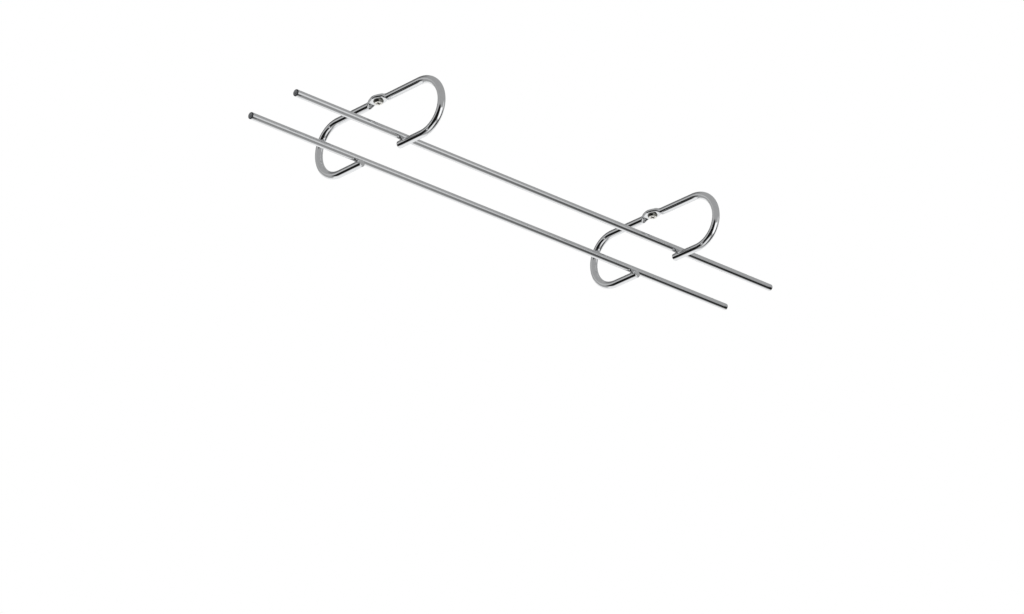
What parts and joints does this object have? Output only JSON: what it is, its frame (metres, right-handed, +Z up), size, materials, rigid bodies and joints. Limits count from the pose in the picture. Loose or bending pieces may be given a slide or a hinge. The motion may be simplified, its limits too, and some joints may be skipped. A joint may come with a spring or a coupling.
{
  "type": "hanging wine glass rack",
  "caption": "Chromed wire rack that screws under a cabinet: two straight rails hold stemmed glasses by the foot, and two bent wire hangers with pressed eyes carry them.",
  "frame": {"origin": "middle of the plane that bears on the underside of the cabinet, halfway between the eyes of the two hangers", "axes": "+X along the rails, +Y across them, +Z up into the cabinet; the glasses hang towards -Z"},
  "size_m": [0.4, 0.105, 0.0383],
  "materials": {
    "rail_chrome": "bright plated",
    "hanger_chrome": "bright plated"
  },
  "bodies": {
    "root": {"rail_front": "rail_chrome", "rail_rear": "rail_chrome", "hanger_left": "hanger_chrome", "hanger_right": "hanger_chrome"}
  },
  "joints": []
}
